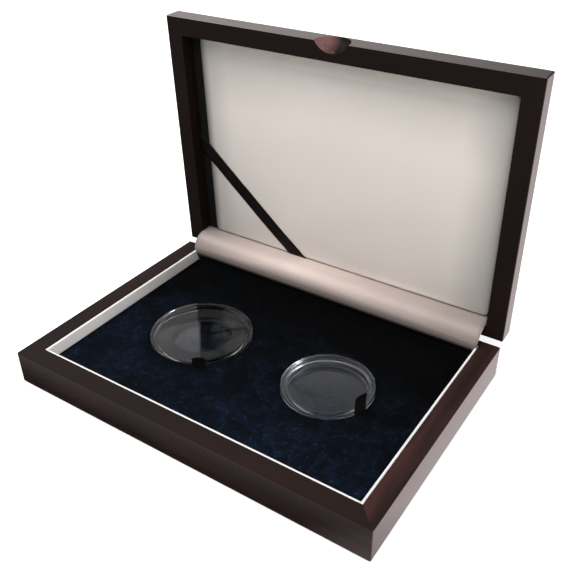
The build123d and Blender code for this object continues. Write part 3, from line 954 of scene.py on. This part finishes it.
def ribbon_band():
    """The ribbon's under face, following the pad and dipping over its two edges."""
    start = Vector((ribbon_left + ribbon_shift, ribbon_side_reach))
    end = Vector((ribbon_foot_x, ribbon_foot))
    along = (end - start).normalized()
    across = Vector((-along.y, along.x))
    overshoot = ribbon_width
    edge_depth = pad_high[2] - pad_edge_rise * (pad_high[2] - pad_low[2])
    length = (end - start).length + 2 * overshoot
    rows = []
    for i in range(ribbon_rows + 1):
        row = []
        for j in range(ribbon_cols + 1):
            u = -overshoot + length * i / ribbon_rows
            v = ribbon_width * (j / ribbon_cols - 0.5)
            p = start + along * u + across * v
            x, reach = max(p.x, ribbon_left), max(p.y, ribbon_foot)
            spill = max(x - p.x, reach - p.y)
            inset = min(x - pad_low[0], reach - pad_low[1])
            depth = edge_depth
            if inset > 0:
                press = ribbon_press * max(0.0, 1 - inset / ribbon_press_reach)
                depth = min(depth, pad_depth(x, reach) - press)
            depth += min(spill, ribbon_tail) - ribbon_lift - ribbon_crown * cos(2 * pi * v / ribbon_width)
            row.append((x, reach, depth))
        rows.append(row)
    return rows


rows = ribbon_band()
upper, lower = [[[lid_point(x, reach, depth - lift) for x, reach, depth in row] for row in rows]
                for lift in (ribbon_thick, 0.0)]
ribbon = mesh_piece("certificate_ribbon_band", *two_faced(upper, lower), satin_ribbon)
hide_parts("certificate_ribbon")
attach(ribbon, "lid")


# ---- Hinge cover -------------------------------------
# A strip of ivory leatherette glued behind the tray and inside the lid. It bows forward
# over the hinges in a smooth roll.
cover_low, cover_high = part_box("hinge_cover")
cover_radius = hinge_y - cover_low.y
cover_thick = 0.9 * mm
cover_pitch = 2.0 * mm
cover_steps = 22
cover_swell = 0.12 * mm
swell_along, swell_up = 28, 60
tail_front = cover_radius - 1.6 * mm
tail_half = -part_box("left_lining")[1].x - 0.3 * mm
cover_cream = (0.55, 0.445, 0.405)
# Painted shade toward the strip's ends and low on its roll, and painted shadow where it dives behind the
# tray.
cover_shade_grey, cover_shadow_black = (0.075, 0.068, 0.066, 1), (0.003, 0.0028, 0.0028, 1)
end_shade, foot_shade = 0.62, 0.72
end_shade_right_from, end_shade_left_from = -18 * mm, -20 * mm
foot_high, foot_low = 23.0 * mm, 18 * mm
dive_high, dive_low = 16.9 * mm, 14.6 * mm


def shade_strip(material):
    """Painted shade greys the strip toward its ends and low on its roll, and painted shadow blackens it where
    it dives behind the tray.
    """
    tree = material.node_tree
    shader = tree.nodes["Principled BSDF"]
    unshaded = shader.inputs["Base Color"].links[0].from_socket
    x, _, z = axes(tree, spot(tree))
    # Painted shade greys the roll's ends and lower part, and painted shadow blackens it where it dives behind
    # the tray.
    right, left = ramp(tree, x, end_shade_right_from, cover_high.x), ramp(tree, x, end_shade_left_from, cover_low.x)
    ends = maths(tree, "MAXIMUM", right, left)
    foot = times(tree, ramp(tree, z, foot_high, foot_low), foot_shade)
    grey = maths(tree, "MAXIMUM", times(tree, ends, end_shade), foot)
    colour = blend_colours(tree, grey, unshaded, cover_shade_grey)
    dive_shadow = ramp(tree, z, dive_high, dive_low)
    surface(tree, shader, Base_Color=blend_colours(tree, dive_shadow, colour, cover_shadow_black))


def cover_path():
    """The strip's front line from the tray's back edge up into the lid: (y, z, outward y, outward z)."""
    first, last = -acos(tail_front / cover_radius), pi / 2 - lean
    knee = hinge_z + cover_radius * sin(first)
    path = []
    for z in (cover_low.z, (cover_low.z * 2 + knee) / 3, (cover_low.z + 2 * knee) / 3):
        path.append((hinge_y - tail_front, z, -1.0, 0.0))
    for i in range(cover_steps + 1):
        angle = first + (last - first) * i / cover_steps
        y, z = hinge_y - cover_radius * cos(angle), hinge_z + cover_radius * sin(angle)
        path.append((y, z, -cos(angle), sin(angle)))
    deep = cover_high.y - y
    for share in (0.25, 0.6, 1.0):
        along = deep * share
        path.append((y + along * sin(last), z + along * cos(last) * 0.98, -cos(last), sin(last)))
    return path


def cover_strip():
    count = int(2 * cover_high.x / cover_pitch)
    rings = []
    for i in range(count + 1):
        x = -cover_high.x + 2 * cover_high.x * i / count
        front, back = [], []
        for y, z, out_y, out_z in cover_path():
            wave = noise.noise(Vector((x * swell_along, z * swell_up, 3.3)))
            swell = cover_swell * (0.6 * wave - 0.4)
            side = min(max(x, -tail_half), tail_half) if z < hinge_z else x
            front.append((side, y + out_y * swell, z + out_z * swell))
            back.append((side, y - out_y * cover_thick, z - out_z * cover_thick))
        rings.append(front + back[::-1])
    return stacked_rings(rings)


cream = leatherette("cream_leatherette", cover_cream)
shade_strip(cream)
cover = mesh_piece("hinge_cover_strip", *cover_strip(), cream)
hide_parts("hinge_cover")
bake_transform(cover)


# ---- Table, light and camera -------------------------
# A plain white table under soft daylight from above and the right. Glossy surfaces see it
# brighter on the window's side and in front of the case, and see a lit wall at the left.
table_half = 1.5
table_white = (0.82, 0.82, 0.82, 1)
window_side, front_side = (0.83, 0.56, 0), (0, -1, 0)
lit_wall_side = (-0.6, 0.45, 0.66)
# Where each patch of light begins and is full, and its strength at both.
window_patch, front_patch = (0.015, 0.06, 0.03, 0.82), (0.064, 0.085, 0.03, 0.5)
wall_patch, far_patch = (0.7, 1.0, 0.1, 1.1), (0.3, 0.9, 0.5, 1.0)
patch_colour, wall_colour = (1.0, 0.86, 0.85, 1), (1.0, 0.91, 0.88, 1)
white, sky_white = (1, 1, 1, 1), (1.0, 0.985, 0.97, 1)
sky_strength = 0.17
case_middle = Vector((0, 0.03, 0.04))
camera_place = Vector((0.1601, -0.2148, 0.2240))
camera_azimuth = radians(33.87)
camera_height = radians(33.01)
camera_roll = radians(0.61)
camera_lens = 47.12


def white_table():
    material, tree, shader = material_tree("white_table")
    path = tree.nodes.new("ShaderNodeLightPath").outputs
    surface(tree, shader, Base_Color=table_white, Roughness=0.9, Specular_IOR_Level=0.0)
    place = tree.nodes.new("ShaderNodeTexCoord").outputs["Object"]
    beside = ramp(tree, dot(tree, place, window_side), *window_patch)
    before = ramp(tree, dot(tree, place, front_side), *front_patch)
    glow = add(tree, "Emission", Color=patch_colour, Strength=maths(tree, "MAXIMUM", beside, before))
    # The table's far part is a little brighter to the camera, so that it meets the sky.
    distance = maths(tree, "SQRT", dot(tree, place, place))
    lift = add(tree, "Emission", Strength=ramp(tree, distance, *far_patch))
    lifted = add(tree, "AddShader", shader.outputs[0], lift)
    direct = add(tree, "MixShader", path["Is Camera Ray"], shader.outputs[0], lifted)
    seen = add(tree, "MixShader", path["Is Glossy Ray"], direct, glow)
    tree.links.new(seen, tree.nodes["Material Output"].inputs["Surface"])
    return material


corners = [(x * table_half, y * table_half, 0) for x, y in ((-1, -1), (1, -1), (1, 1), (-1, 1))]
table = mesh_piece("table", corners, [(0, 1, 2, 3)], white_table())

world = bpy.data.worlds.new("daylight")
bpy.context.scene.world = world
world.use_nodes = True
sky = world.node_tree
rays = sky.nodes.new("ShaderNodeLightPath").outputs
way = sky.nodes.new("ShaderNodeTexCoord").outputs["Generated"]
open_sky = add(sky, "Background", Color=sky_white, Strength=sky_strength)
lit_wall = ramp(sky, dot(sky, way, lit_wall_side), *wall_patch)
room = add(sky, "Background", Color=wall_colour, Strength=lit_wall)
lit = add(sky, "MixShader", rays["Is Glossy Ray"], open_sky, room)
backdrop = add(sky, "Background", Color=white, Strength=1.0)
seen = add(sky, "MixShader", rays["Is Camera Ray"], lit, backdrop)
sky.links.new(seen, sky.nodes["World Output"].inputs["Surface"])


def soft_box(name, place, width, height, power):
    """A rectangular lamp turned toward the middle of the case."""
    data = bpy.data.lights.new(name, "AREA")
    data.shape = "RECTANGLE"
    data.size, data.size_y = width, height
    data.energy = power
    box = bpy.data.objects.new(name, data)
    box.location = place
    box.rotation_mode = "QUATERNION"
    box.rotation_quaternion = (case_middle - box.location).to_track_quat("-Z", "Y")
    bpy.context.scene.collection.objects.link(box)
    return box


overhead = soft_box("overhead_soft_box", (-0.2, -0.34, 0.90), 2.2, 0.5, 21.5)
soft_box("side_window", (1.1, 0.38, 0.5), 0.35, 0.5, 7.0)
# The overhead lamp leaves the capsules out, whose rims would show its whole image.
unlit = bpy.data.collections.new("clear_pieces")
for piece in clear_pieces:
    unlit.objects.link(piece)
overhead.light_linking.receiver_collection = unlit
for item in unlit.collection_objects:
    item.light_linking.link_state = "EXCLUDE"

camera_data = bpy.data.cameras.new("camera")
camera_data.sensor_width = 36.0
camera_data.lens = camera_lens
camera_data.clip_start = 0.01
camera = bpy.data.objects.new("camera", camera_data)
bpy.context.scene.collection.objects.link(camera)
level = cos(camera_height)
ahead = Vector((-sin(camera_azimuth) * level, cos(camera_azimuth) * level, -sin(camera_height)))
camera.rotation_mode = "QUATERNION"
camera.rotation_quaternion = Quaternion(ahead, camera_roll) @ ahead.to_track_quat("-Z", "Y")
camera.location = camera_place
bpy.context.scene.camera = camera
bpy.context.scene.view_settings.view_transform = "Standard"
